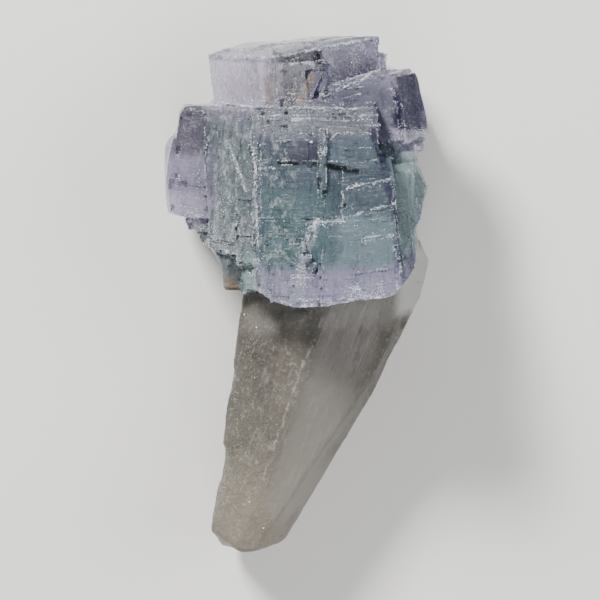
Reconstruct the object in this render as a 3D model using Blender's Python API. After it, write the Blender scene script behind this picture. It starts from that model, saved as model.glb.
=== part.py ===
"""Intergrown fluorite cubes on the upper end of a broken quartz crystal, lying on its back.

X runs across the specimen, +Y towards the fluorite end, and Z = 0 is the surface that it lies on.
Lengths below are in millimetres and angles in degrees. The meshes are in metres.
"""

import math
import random

import bmesh
import bpy
from mathutils import Matrix, Vector

MM = 0.001
GAP = 0.3
SEED = 7

# A slab under the surface that the specimen lies on, which cuts the back of the cluster flat.
SPAN = 90.0
BELOW = 8.0

# The outermost points of the specimen, which centre it over the origin.
SPECIMEN_LEFT = -14.4
SPECIMEN_RIGHT = 13.9
SPECIMEN_LOW = -27.6
SPECIMEN_HIGH = 27.8
SHIFT = Vector((
    -(SPECIMEN_LEFT + SPECIMEN_RIGHT) / 2,
    -(SPECIMEN_LOW + SPECIMEN_HIGH) / 2,
    0.0,
))

# Each crystal's front face, left, right, low, high and how far forward, then its depth, yaw and roll.
CORE = (-9.6, 11.2, 4.6, 20.6, 14.5, 15.0, 0, 2)
UPPER = (
    (2.0, 9.3, 16.0, 25.4, 8.6, 6.8, 0, 4),
    (-6.0, 1.5, 17.5, 24.6, 6.4, 5.6, 8, -3),
)
RIGHT = (
    (10.1, 12.6, 11.2, 16.5, 15.0, 9.0, -6, 6),
    (8.9, 13.2, 11.2, 14.1, 12.6, 8.0, 4, 8),
    (8.9, 12.7, 7.6, 11.9, 13.8, 9.6, -4, 5),
    (9.3, 12.2, 4.0, 8.9, 15.2, 8.8, 3, 4),
    (6.5, 11.9, 9.4, 14.6, 17.4, 9.0, 5, 7),
    (6.5, 11.2, 2.6, 9.9, 18.6, 8.0, 3, 5),
)
LEFT = (
    (-11.2, -8.0, 7.2, 11.2, 12.0, 8.0, 8, -4),
    (-9.8, -7.0, 5.4, 9.0, 11.4, 8.4, 10, -6),
    (-8.8, -5.0, 0.9, 7.0, 8.8, 5.4, -6, -5),
    (-9.0, -4.7, 5.5, 20.8, 16.1, 6.0, -43, -3),
    (-6.4, -4.2, 4.6, 20.3, 17.9, 6.0, -30, -1),
)
# The two left blocks. Their faces bow out, by the last two shares, of half the width and half the depth.
BOWED = (
    (-12.6, -8.4, 12.4, 20.5, 12.9, 9.2, 6, -3, 0.10, 0.10),
    (-13.3, -8.4, 9.0, 17.1, 12.7, 9.0, 6, -2, 0.16, 0.12),
)
FRONT = (
    (-4.7, 7.6, 12.0, 21.2, 17.0, 6.0, 3, -0.5),
    (-4.7, 7.9, 12.0, 20.6, 17.7, 6.0, 3, 0),
    (-4.6, 8.1, 11.0, 19.8, 18.4, 6.0, 3, 1),
    (-4.7, 8.3, 9.0, 18.9, 18.9, 6.0, 2, 0.5),
    (-2.7, 2.0, 9.0, 18.0, 19.4, 5.0, 2, 0),
    (1.8, 2.6, 12.0, 18.5, 20.1, 4.0, 0, 0.5),
    (2.4, 8.2, 9.0, 18.8, 19.6, 5.0, 2, 2),
    (-4.6, 5.0, 6.0, 15.3, 19.9, 6.0, 1, -1),
    (4.5, 9.5, 8.0, 15.4, 20.2, 6.0, 2, 5),
    (4.4, 9.7, 7.0, 13.7, 20.8, 6.0, 2, 7),
    (4.8, 10.1, 3.0, 10.9, 21.2, 6.0, 2, 7),
)
LOWER = (
    (1.8, 9.9, 1.2, 9.6, 21.8, 8.2, 3, 5),
    (6.6, 10.0, 1.9, 8.0, 22.0, 7.0, 3, 5),
    (5.6, 10.1, 1.4, 4.4, 22.2, 7.0, 3, 6),
    (-4.7, 2.4, 3.0, 9.6, 20.5, 7.0, 2, 0.5),
    (-4.2, 0.6, 1.6, 7.7, 20.9, 7.0, 2, 1),
    (-3.0, 1.4, 0.9, 5.2, 21.2, 7.4, 2, -3),
    (-0.9, 3.4, 0.7, 4.0, 21.6, 7.8, 3, 1),
    (-6.1, -4.3, 1.6, 5.8, 16.6, 6.0, -8, -2),
    (-6.3, -3.2, 4.4, 8.0, 16.9, 10.0, 4, -3),
)
BACK = (
    (-6.4, 3.6, 7.0, 17.0, 6.0, 5.4, -5, -4),
    (-11.6, -7.0, 8.2, 15.0, 7.0, 5.8, 6, 5),
    (3.0, 9.0, 17.4, 22.4, 7.0, 6.2, 5, 7),
    (7.0, 11.9, 13.6, 20.0, 8.4, 6.8, -10, 10),
)

# The upper block and the one beside it are seen edge on: centre, size, yaw and roll.
TOP_BLOCK = ((-0.13, 21.4, 9.2), (15.1, 11.0, 9.6), 40, 6)
SHOULDER_BLOCK = ((6.7, 19.7, 11.6), (9.8, 7.2, 6.4), -18, 12)
LEFT_FACE_BLOCK = ((-3.4, 13.6, 10.0), (9.0, 14.0, 9.6), 36, -3)

# Broken places on the upper block's wide face, as shares of its half size: low and high corner.
UPPER_PITS = (
    ((-0.43, -0.04, 0.78), (-0.20, 0.49, 1.14)),
    ((-0.24, 0.36, 0.88), (0.02, 0.58, 1.16)),
    ((-0.82, 0.74, 0.93), (-0.30, 1.15, 1.18)),
    ((-0.52, 0.62, 0.90), (-0.06, 0.83, 1.20)),
    ((-0.90, -0.30, 0.91), (-0.60, 0.05, 1.22)),
)

# Where the flat back stops short of the crystals beside it: left, right, low, high, depth, yaw and roll.
BACK_HOLLOWS = (
    (-10.4, -4.6, 3.8, 9.6, 1.9, 0, 2),
    (-10.6, -5.2, 16.6, 21.6, 1.3, 0, -2),
    (2.8, 12.2, 17.2, 21.6, 1.2, 0, 3),
    (8.2, 12.2, 12.4, 18.0, 2.0, 0, 5),
    (1.2, 3.6, 12.2, 14.0, 0.5, 0, 4),
    (-3.4, -0.6, 15.0, 16.2, 0.4, 0, 4),
    (5.6, 12.0, 3.9, 6.8, 0.9, 0, 2),
)

# Lines along which small crystals crowd: start, end, spread, smallest, largest and number.
CROWDED = (
    ((-4.2, 2.3, 20.2), (-0.6, 0.9, 20.9), 0.35, 0.3, 0.66, 9),
    ((-0.6, 1.0, 20.9), (4.0, 1.1, 21.3), 0.3, 0.3, 0.72, 12),
    ((5.0, 1.7, 21.6), (9.4, 2.2, 21.6), 0.35, 0.24, 0.6, 9),
    ((1.4, 9.2, 20.5), (-0.2, 2.2, 20.8), 0.4, 0.24, 0.66, 20),
    ((-4.6, 16.6, 18.9), (-4.6, 3.0, 20.2), 0.3, 0.18, 0.54, 12),
    ((-4.4, 20.2, 17.2), (7.6, 20.0, 17.6), 0.4, 0.24, 0.6, 14),
    ((-4.0, 18.0, 18.5), (1.8, 18.4, 18.7), 0.35, 0.24, 0.48, 10),
    ((10.2, 17.8, 12.6), (12.6, 16.2, 10.6), 0.8, 0.42, 0.96, 11),
    ((12.4, 14.6, 9.0), (11.7, 6.6, 10.0), 0.5, 0.42, 0.96, 12),
    ((-11.8, 8.6, 9.6), (-6.2, 4.6, 13.4), 0.6, 0.42, 1.02, 16),
    ((-10.4, 18.8, 12.4), (-9.4, 9.6, 13.0), 0.5, 0.24, 0.6, 8),
    ((-9.2, 4.4, 6.0), (-6.4, 0.6, 8.0), 0.5, 0.48, 1.08, 8),
)

# A small crystal's sides vary by this much, and it leans by up to this yaw, roll and pitch.
CROWD_STRETCH = (0.8, 1.4)
CROWD_LEAN = (12, 6, 8)
# Degrees of roll for each millimetre to the right, as the crystals splay.
SPLAY = 0.75

# Cuts across each side of a bowed block.
BOW_CUTS = 5

# Growth layers, in half sizes of the crystal: their margin at the edges, how much each one shrinks
# all round, how far back one side of it stops, and the depth that the first one is rooted at.
LAYER_MARGIN = (0.03, 0.14)
LAYER_SHRINK = (0.02, 0.05)
LAYER_STOP = (0.15, 0.5)
LAYER_ROOT = 0.6
LAYER_ROOT_STEP = 0.09
LAYER_NARROWEST = 0.3

# Bites out of the edges: how near the corners they come and how far past the faces they reach, in half
# sizes, then half their length and their depth in millimetres, and their number on each crystal.
NICK_REACH = 0.8
NICK_BEYOND = (1.02, 1.10)
NICK_LENGTH = (0.4, 1.3)
NICK_DEPTH = 0.4
NICKS_EACH = 4

# Quartz: points on the ridge between its two front faces and on its outer edges.
RIDGE_TOP = Vector((2.5, -1.3, 13.0))
RIDGE_FOOT = Vector((-4.0, -18.7, 12.0))
LEFT_EDGE_TOP = Vector((-6.1, 0.5, 6.5))
SHOULDER_EDGE = Vector((13.1, 1.0, 7.0))
QUARTZ_BOX_LOW = Vector((-16.0, -27.6, 0.0))
QUARTZ_BOX_HIGH = Vector((16.0, 9.0, 14.0))
RHOMB_ANGLE = 51.8

# Each broken or grown face of the quartz: a point on it and the way it looks.
SMOOTH_FACE = (0.12, -0.10, 1.0)
QUARTZ_FACES = (
    (RIDGE_TOP, SMOOTH_FACE),
    (LEFT_EDGE_TOP, (-0.97, 0.11, -0.20)),
    (Vector((-4.9, 0.0, 1.4)), (-0.60, 0.06, -0.80)),
    (SHOULDER_EDGE, (0.866, 0.0, 0.50)),
    (Vector((12.7, 0.0, 2.2)), (0.80, 0.0, -0.60)),
    (Vector((10.8, -3.7, 8.0)), (0.90, -0.44, 0.25)),
    (Vector((8.9, -7.6, 7.0)), (0.90, -0.43, -0.30)),
    (Vector((5.8, -13.9, 6.5)), (0.83, -0.55, 0.35)),
    (Vector((0.6, -22.6, 3.0)), (0.84, -0.40, -0.45)),
    (Vector((-5.0, -27.3, 5.0)), (0.06, -1.0, 0.10)),
    (Vector((-9.0, -26.6, 5.0)), (-0.60, -0.75, 0.25)),
)
RHOMB_FACES = (
    (Vector((4.0, 7.2, 10.0)), 0.0),
    (Vector((9.4, 7.4, 4.0)), 120.0),
    (Vector((-3.0, 7.4, 3.0)), 240.0),
)

# Ledges along the smooth face: where they lie across it, low, high and how far they stand out.
LEDGES = (
    (4.4, -11.0, -2.6, 0.10),
    (6.6, -9.4, -2.4, 0.16),
    (8.6, -5.0, -2.0, 0.12),
)
LEDGE_WIDTH = 1.5
LEDGE_ROOT = 2.0
LEDGE_LEAN = (6.8, -9, 5.7)

# Splinters on the frosted face: how far down and across it they lie, as shares, how much narrower the
# face is at its foot, and the range of their sizes and of their yaw, roll and pitch.
SPLINTERS = 30
SPLINTERS_DOWN = (0.10, 1.3)
SPLINTERS_ACROSS = (0.08, 0.80)
FACE_TAPER = 0.45
SPLINTER_SIZE = ((1.0, 2.2), (1.6, 4.5), (0.3, 0.6))
SPLINTER_LEAN = ((-46, -26), (-20, -8), (-2, 8))

# Shell-shaped chips out of the broken edges: a point on the surface, its outward way, radius and depth.
CHIPS = (
    ((11.0, -2.4, 9.5), (0.90, -0.20, 0.40), 3.6, 0.5),
    ((9.7, -6.0, 6.0), (0.90, -0.43, 0.0), 4.6, 0.6),
    ((7.9, -9.3, 10.2), (0.85, -0.40, 0.35), 4.2, 0.6),
    ((5.5, -12.6, 4.0), (0.85, -0.40, -0.35), 4.6, 0.6),
    ((3.3, -16.4, 8.6), (0.80, -0.50, 0.30), 5.4, 0.7),
    ((-0.6, -23.4, 6.8), (0.75, -0.60, 0.20), 4.2, 0.6),
    ((-6.2, -27.2, 7.6), (0.10, -0.95, 0.30), 3.4, 0.6),
    ((-8.1, -17.6, 7.0), (-0.90, 0.0, 0.40), 3.8, 0.4),
    ((-7.1, -8.2, 7.2), (-0.90, 0.0, 0.40), 3.4, 0.4),
    ((-3.0, -27.4, 3.0), (0.20, -0.95, -0.20), 3.0, 0.6),
)


def clear_scene():
    for obj in list(bpy.data.objects):
        bpy.data.objects.remove(obj, do_unlink=True)


def new_collection(name):
    collection = bpy.data.collections.new(name)
    bpy.context.scene.collection.children.link(collection)
    return collection


def plain_material(name, colour, roughness):
    material = bpy.data.materials.new(name)
    material.use_nodes = True
    shader = material.node_tree.nodes["Principled BSDF"]
    shader.inputs["Base Color"].default_value = (*colour, 1.0)
    shader.inputs["Roughness"].default_value = roughness
    shader.inputs["Metallic"].default_value = 0.0
    return material


def turned(yaw, roll, pitch=0.0):
    """Yaw about the specimen's length, then pitch about its width, then roll about the upright."""
    return (
        Matrix.Rotation(math.radians(roll), 4, "Z")
        @ Matrix.Rotation(math.radians(pitch), 4, "X")
        @ Matrix.Rotation(math.radians(yaw), 4, "Y")
    )


def from_front(left, right, low, high, front, depth, yaw, roll):
    """A crystal's frame and size from its front face, which yaw and roll turn about its own middle."""
    turn = turned(yaw, roll)
    size = Vector(((right - left) / math.cos(math.radians(yaw)), high - low, depth))
    middle = Vector(((left + right) / 2, (low + high) / 2, front))
    return Matrix.Translation(middle - turn.to_3x3() @ Vector((0.0, 0.0, depth / 2))) @ turn, size


class Boxes:
    """Gathers boxes that may overlap each other in one mesh, for one Boolean to join or cut away."""

    def __init__(self):
        self.bm = bmesh.new()
        self.frames = []

    def unit_box(self, matrix):
        bmesh.ops.create_cube(self.bm, size=1.0, matrix=matrix)
        self.frames.append(matrix.inverted())

    def add(self, frame, size):
        """Adds a box, and returns its frame and size for what grows on it."""
        self.unit_box(frame @ Matrix.Diagonal((*size, 1.0)))
        return frame, Vector(size)

    def box(self, centre, size, yaw=0.0, roll=0.0, pitch=0.0):
        return self.add(Matrix.Translation(Vector(centre)) @ turned(yaw, roll, pitch), size)

    def crystal(self, *row):
        return self.add(*from_front(*row))

    def bowed_crystal(self, *row):
        """Adds a crystal whose sides bow out along its length, and its front across its width."""
        *row, bow_out, bow_up = row
        frame, size = from_front(*row)
        matrix = frame @ Matrix.Diagonal((*size, 1.0))
        made = bmesh.new()
        bmesh.ops.create_cube(made, size=1.0)
        bmesh.ops.subdivide_edges(made, edges=made.edges[:], cuts=BOW_CUTS, use_grid_fill=True)
        for vertex in made.verts:
            x, y, z = vertex.co
            vertex.co.x = x * (1 + bow_out * (1 - 4 * y * y))
            vertex.co.z = z * (1 + bow_up * (1 - 4 * x * x))
        made.transform(matrix)
        mesh = bpy.data.meshes.new("bowed")
        made.to_mesh(mesh)
        made.free()
        self.bm.from_mesh(mesh)
        bpy.data.meshes.remove(mesh)
        self.frames.append(matrix.inverted())
        return frame, size

    def covers(self, point):
        """Whether the point lies inside one of the boxes."""
        return any(max(abs(value) for value in frame @ point) < 0.5 for frame in self.frames)

    def share(self, crystal, low, high):
        """Adds a box given in shares of a crystal's half size, -1 to 1, in the crystal's own frame."""
        frame, size = crystal
        centre = Vector([(a + b) * s / 4 for a, b, s in zip(low, high, size)])
        extent = [(b - a) * s / 2 for a, b, s in zip(low, high, size)]
        self.unit_box(frame @ Matrix.Translation(centre) @ Matrix.Diagonal((*extent, 1.0)))

    def ball(self, centre, radius):
        place = Matrix.Translation(centre)
        bmesh.ops.create_icosphere(self.bm, subdivisions=2, radius=radius, matrix=place)

    def object(self, name, collection):
        return mesh_object(self.bm, name, collection)


def mesh_object(bm, name, collection):
    bm.transform(Matrix.Scale(MM, 4) @ Matrix.Translation(SHIFT))
    mesh = bpy.data.meshes.new(name)
    bm.to_mesh(mesh)
    bm.free()
    obj = bpy.data.objects.new(name, mesh)
    collection.objects.link(obj)
    return obj


def terraces(boxes, crystal, side, count, thickness, rng):
    """Thin square-edged growth layers on one side of a crystal, each smaller than the one below it."""
    axis = "xyz".index(side[1])
    sign = 1 if side[0] == "+" else -1
    size = crystal[1]
    others = [i for i in range(3) if i != axis]
    low = [rng.uniform(*LAYER_MARGIN) - 1 for _ in others]
    high = [1 - rng.uniform(*LAYER_MARGIN) for _ in others]
    height = 1.0
    for layer in range(count):
        height += 2 * thickness * rng.uniform(0.6, 1.4) / size[axis]
        root = LAYER_ROOT - LAYER_ROOT_STEP * layer
        which = rng.randrange(2)
        if rng.random() < 0.5:
            low[which] += rng.uniform(*LAYER_STOP)
        else:
            high[which] -= rng.uniform(*LAYER_STOP)
        low = [value + rng.uniform(*LAYER_SHRINK) for value in low]
        high = [value - rng.uniform(*LAYER_SHRINK) for value in high]
        if high[which] - low[which] < LAYER_NARROWEST:
            return
        corner_low = [0.0] * 3
        corner_high = [0.0] * 3
        corner_low[axis], corner_high[axis] = (root, height) if sign > 0 else (-height, -root)
        for i, other in enumerate(others):
            corner_low[other] = low[i]
            corner_high[other] = high[i]
        boxes.share(crystal, corner_low, corner_high)


def fan(x):
    """The roll of a crystal at this place: they splay from left to right."""
    return SPLAY * x


def crowd(boxes, start, end, spread, smallest, largest, number, rng):
    """Small cubes along a line, nearly parallel to the large crystals that they sit on."""
    for i in range(number):
        place = Vector(start).lerp(Vector(end), (i + rng.random()) / number)
        place += Vector([rng.uniform(-spread, spread) for _ in range(3)])
        size = [rng.uniform(smallest, largest) * rng.uniform(*CROWD_STRETCH) for _ in range(3)]
        yaw, roll, pitch = (rng.uniform(-limit, limit) for limit in CROWD_LEAN)
        boxes.box(place, size, yaw, fan(place.x) + roll, pitch)


def nicks(bites, growth, crystal, count, depth, rng):
    """Square bites out of a crystal's open front edges, where thin layers stopped short."""
    frame, size = crystal
    for _ in range(count):
        along = rng.uniform(-NICK_REACH, NICK_REACH)
        length = rng.uniform(*NICK_LENGTH)
        bite = rng.uniform(0.5, 1.0) * depth
        across, sign = rng.choice(((0, -1), (0, 1), (1, -1), (1, 1)))
        beyond = rng.uniform(*NICK_BEYOND)
        low = [0.0, 0.0, 1 - 2 * bite / size.z]
        high = [0.0, 0.0, beyond]
        low[across], high[across] = sorted((sign * (1 - 2 * bite / size[across]), sign * beyond))
        other = 1 - across
        low[other] = along - length / size[other]
        high[other] = along + length / size[other]
        corner = Vector((0.0, 0.0, 1.0))
        corner[across] = sign
        corner[other] = along
        if not growth.covers(frame @ Vector([c * s / 2 for c, s in zip(corner, size * 1.01)])):
            bites.share(crystal, low, high)


def fluorite_growth(rng):
    """Every cube, growth layer and small crystal of the cluster, and the bites out of them."""
    growth = Boxes()
    bites = Boxes()
    top = growth.box(*TOP_BLOCK)
    terraces(growth, top, "+y", 2, 0.12, rng)
    shoulder = growth.box(*SHOULDER_BLOCK)
    terraces(growth, shoulder, "+y", 2, 0.15, rng)
    left_face = growth.box(*LEFT_FACE_BLOCK)
    terraces(growth, left_face, "-x", 3, 0.2, rng)
    for crystal in (top, shoulder):
        terraces(growth, crystal, "+z", 2, 0.2, rng)
        terraces(growth, crystal, "-x", 2, 0.2, rng)

    crystals = [top, shoulder, left_face]
    for row in BOWED:
        crystals.append(growth.bowed_crystal(*row))
    for row in UPPER + RIGHT + LEFT:
        crystal = growth.crystal(*row)
        crystals.append(crystal)
        terraces(growth, crystal, "+z", 2, 0.2, rng)
        terraces(growth, crystal, "+x" if row[0] > 0 else "-x", 1, 0.25, rng)
    for row in FRONT + LOWER:
        crystal = growth.crystal(*row)
        crystals.append(crystal)
        terraces(growth, crystal, "+z", 1, 0.1, rng)
    for row in BACK:
        terraces(growth, growth.crystal(*row), "-z", 2, 0.15, rng)
    for row in CROWDED:
        crowd(growth, *row, rng)

    for crystal in crystals:
        nicks(bites, growth, crystal, NICKS_EACH, NICK_DEPTH, rng)
    for low, high in UPPER_PITS:
        bites.share(top, low, high)
    bites.box((0.0, 0.0, -BELOW / 2), (SPAN, SPAN, BELOW))
    return growth, bites


def cut_to_plane(bm, point, normal):
    """Keeps what lies behind the plane, and closes the cut with one flat face."""
    geometry = bm.verts[:] + bm.edges[:] + bm.faces[:]
    bmesh.ops.bisect_plane(
        bm, geom=geometry, dist=1e-6, plane_co=point, plane_no=normal, clear_outer=True
    )
    rim = [edge for edge in bm.edges if edge.is_boundary]
    if rim:
        bmesh.ops.holes_fill(bm, edges=rim, sides=0)


def quartz_body(margin):
    """The quartz without its chips, every face moved outwards by the margin."""
    bm = bmesh.new()
    low = QUARTZ_BOX_LOW - Vector((margin,) * 3)
    high = QUARTZ_BOX_HIGH + Vector((margin,) * 3)
    size = high - low
    place = Matrix.Translation((low + high) / 2) @ Matrix.Diagonal((*size, 1.0))
    bmesh.ops.create_cube(bm, size=1.0, matrix=place)
    faces = [(point, Vector(normal).normalized()) for point, normal in QUARTZ_FACES]
    frosted = (RIDGE_FOOT - RIDGE_TOP).cross(LEFT_EDGE_TOP - RIDGE_TOP).normalized()
    faces.append((RIDGE_TOP, -frosted if frosted.z < 0 else frosted))
    rise = math.cos(math.radians(RHOMB_ANGLE))
    reach = math.sin(math.radians(RHOMB_ANGLE))
    for point, angle in RHOMB_FACES:
        around = math.radians(angle)
        faces.append((point, Vector((reach * math.sin(around), rise, reach * math.cos(around)))))
    for point, normal in faces:
        cut_to_plane(bm, point + margin * normal, normal)
    bmesh.ops.recalc_face_normals(bm, faces=bm.faces[:])
    return bm


def quartz_relief(rng):
    """Ledges along the smooth face and splinters on the frosted one, and the chips out of the edges."""
    growth = Boxes()
    slope_x, slope_y, _ = SMOOTH_FACE
    for x, low, high, lift in LEDGES:
        middle = (low + high) / 2
        top = RIDGE_TOP.z - slope_x * (x - RIDGE_TOP.x) - slope_y * (middle - RIDGE_TOP.y) + lift
        size = (LEDGE_WIDTH, high - low, LEDGE_ROOT)
        growth.box((x, middle, top - LEDGE_ROOT / 2), size, *LEDGE_LEAN)
    across = LEFT_EDGE_TOP - RIDGE_TOP
    along = RIDGE_FOOT - RIDGE_TOP
    for _ in range(SPLINTERS):
        down = rng.uniform(*SPLINTERS_DOWN)
        out = rng.uniform(*SPLINTERS_ACROSS) * (1 - FACE_TAPER * down)
        size = [rng.uniform(*limits) for limits in SPLINTER_SIZE]
        lean = [rng.uniform(*limits) for limits in SPLINTER_LEAN]
        growth.box(RIDGE_TOP + along * down + across * out, size, *lean)
    chips = Boxes()
    for point, outward, radius, depth in CHIPS:
        chips.ball(Vector(point) + Vector(outward).normalized() * (radius - depth), radius)
    return growth, chips


def boolean(obj, other, operation):
    modifier = obj.modifiers.new(other.name, "BOOLEAN")
    modifier.object = other
    modifier.operation = operation
    modifier.solver = "EXACT"
    modifier.use_self = True


def boolean_result(obj, steps):
    """Joins and cuts the object in turn, and keeps its largest body, with no crumbs or sealed hollows."""
    for helper, operation in steps:
        helper.hide_render = True
        helper.display_type = "WIRE"
        boolean(obj, helper, operation)
    graph = bpy.context.evaluated_depsgraph_get()
    mesh = bpy.data.meshes.new_from_object(obj.evaluated_get(graph))
    obj.modifiers.clear()
    for helper, _ in steps:
        bpy.data.objects.remove(helper, do_unlink=True)
    bm = bmesh.new()
    bm.from_mesh(mesh)
    islands = islands_of(bm)
    largest = max(islands, key=len)
    for island in islands:
        if island is not largest:
            bmesh.ops.delete(bm, geom=island, context="FACES")
    bm.to_mesh(mesh)
    bm.free()
    obj.data = mesh


def islands_of(bm):
    """The faces of the mesh in groups that share edges."""
    left = set(bm.faces)
    islands = []
    while left:
        island = [left.pop()]
        for face in island:
            for edge in face.edges:
                for other in edge.link_faces:
                    if other in left:
                        left.remove(other)
                        island.append(other)
        islands.append(island)
    return islands


def build_fluorite(specimen, helpers, rng):
    core = Boxes()
    core.crystal(*CORE)
    fluorite = core.object("fluorite_cubes", specimen)
    fluorite.data.materials.append(plain_material("fluorite", (0.42, 0.45, 0.55), 0.12))
    hollows = Boxes()
    for left, right, low, high, depth, yaw, roll in BACK_HOLLOWS:
        hollows.crystal(left, right, low, high, depth, depth + BELOW, yaw, roll)
    growth, bites = fluorite_growth(rng)
    boolean_result(fluorite, (
        (hollows.object("back_hollows", helpers), "DIFFERENCE"),
        (growth.object("growth_layers", helpers), "UNION"),
        (bites.object("stopped_layers", helpers), "DIFFERENCE"),
        (mesh_object(quartz_body(GAP), "quartz_pocket", helpers), "DIFFERENCE"),
    ))


def build_quartz(specimen, helpers, rng):
    quartz = mesh_object(quartz_body(0.0), "quartz_crystal", specimen)
    quartz.data.materials.append(plain_material("quartz", (0.50, 0.47, 0.42), 0.35))
    growth, chips = quartz_relief(rng)
    boolean_result(quartz, (
        (growth.object("quartz_ledges", helpers), "UNION"),
        (chips.object("quartz_chips", helpers), "DIFFERENCE"),
    ))


def main():
    clear_scene()
    specimen = new_collection("fluorite_on_quartz")
    helpers = new_collection("helpers")
    build_fluorite(specimen, helpers, random.Random(SEED))
    build_quartz(specimen, helpers, random.Random(SEED + 1))
    bpy.data.collections.remove(helpers)


main()
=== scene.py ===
"""Looks for a cluster of fluorite cubes grown on the end of a broken quartz crystal.

Lengths in the constants are in millimetres, and meshes are in metres. The specimen lies on its back:
X runs across it, +Y towards the fluorite end and +Z away from the surface under it.
"""

import math

import bmesh
import bpy
import numpy as np
from mathutils import Matrix, Vector, noise
from mathutils.bvhtree import BVHTree

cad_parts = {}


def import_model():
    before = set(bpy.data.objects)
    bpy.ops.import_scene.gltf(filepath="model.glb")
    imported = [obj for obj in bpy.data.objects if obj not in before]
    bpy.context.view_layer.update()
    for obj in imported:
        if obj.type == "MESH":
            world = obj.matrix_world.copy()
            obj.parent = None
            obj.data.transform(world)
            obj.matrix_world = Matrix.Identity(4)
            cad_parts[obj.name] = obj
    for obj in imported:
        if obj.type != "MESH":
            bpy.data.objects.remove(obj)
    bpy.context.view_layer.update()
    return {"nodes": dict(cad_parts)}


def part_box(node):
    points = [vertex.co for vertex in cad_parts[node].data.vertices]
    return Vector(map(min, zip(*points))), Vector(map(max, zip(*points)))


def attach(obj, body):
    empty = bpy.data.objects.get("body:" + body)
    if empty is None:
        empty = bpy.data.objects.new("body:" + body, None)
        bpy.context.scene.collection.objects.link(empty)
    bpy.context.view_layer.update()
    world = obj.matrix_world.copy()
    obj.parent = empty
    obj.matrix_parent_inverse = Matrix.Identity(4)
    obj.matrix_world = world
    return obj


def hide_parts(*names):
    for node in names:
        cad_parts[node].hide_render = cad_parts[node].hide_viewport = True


MM = 0.001

# The camera looks down on the specimen, leaning towards the fluorite end.
LEAN = math.radians(7.0)
CAMERA_LENS = 180.0
CAMERA_DISTANCE = 315.0
TARGET = Vector((0.25, -0.1, 10.0))
RIGHT = Vector((1.0, 0.0, 0.0))
UP = Vector((0.0, math.cos(LEAN), -math.sin(LEAN)))
BACK = Vector((0.0, math.sin(LEAN), math.cos(LEAN)))
EYE = TARGET + BACK * CAMERA_DISTANCE

# Soft lights: place and size in metres, and power in watts.
LIGHTS = {
    "key": ((-0.22, 0.34, 0.30), (0.12, 0.10), 6.8),
    "fill": ((0.40, 0.05, 0.30), (0.30, 0.30), 2.0),
    "low": ((0.0, -0.40, 0.25), (0.30, 0.20), 1.5),
}
SKY = (0.9, 0.95, 1.0, 1.0)
SKY_STRENGTH = 0.35
FLOOR_SIZE = 3.0
FLOOR_GAP = 0.00005

FLUORITE_IOR = 1.434
QUARTZ_IOR = 1.544

# Vertices closer than this, in metres, are one.
MERGE = 1e-7
SPLIT_ROUNDS = 8

# Noise vectors start from this seed, so that each run gives the same shapes.
NOISE_SEED = 4


def linear(red, green, blue):
    """A screen colour, 0 to 255, as the linear colour that shaders take."""
    def one(value):
        share = value / 255
        return share / 12.92 if share <= 0.04045 else ((share + 0.055) / 1.055) ** 2.4
    return (one(red), one(green), one(blue), 1.0)


class Socket:
    """A node's output that Python expressions build on."""

    def __init__(self, shader, socket):
        self.shader = shader
        self.socket = socket

    def math(self, operation, *operands, clamp=False):
        settings = {"operation": operation, "use_clamp": clamp}
        return self.shader.node("ShaderNodeMath", settings, dict(enumerate(operands)))

    def __add__(self, other):
        return self.math("ADD", self, other)

    def __radd__(self, other):
        return self.math("ADD", other, self)

    def __sub__(self, other):
        return self.math("SUBTRACT", self, other)

    def __rsub__(self, other):
        return self.math("SUBTRACT", other, self)

    def __mul__(self, other):
        return self.math("MULTIPLY", self, other)

    def __rmul__(self, other):
        return self.math("MULTIPLY", other, self)

    def __truediv__(self, other):
        return self.math("DIVIDE", self, other)

    def __rtruediv__(self, other):
        return self.math("DIVIDE", other, self)

    def clamped(self):
        return self.math("ADD", self, 0.0, clamp=True)

    def at_least(self, other):
        return self.math("MAXIMUM", self, other)

    def root(self):
        return self.math("SQRT", self)

    def snapped(self, step):
        return self.math("SNAP", self, step)

    def smooth(self, start, end, low=0.0, high=1.0):
        """Low up to start, high from end on, and a soft change between them."""
        settings = {"interpolation_type": "SMOOTHSTEP"}
        sockets = {"Value": self, "From Min": start, "From Max": end, "To Min": low, "To Max": high}
        return self.shader.node("ShaderNodeMapRange", settings, sockets)


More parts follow.
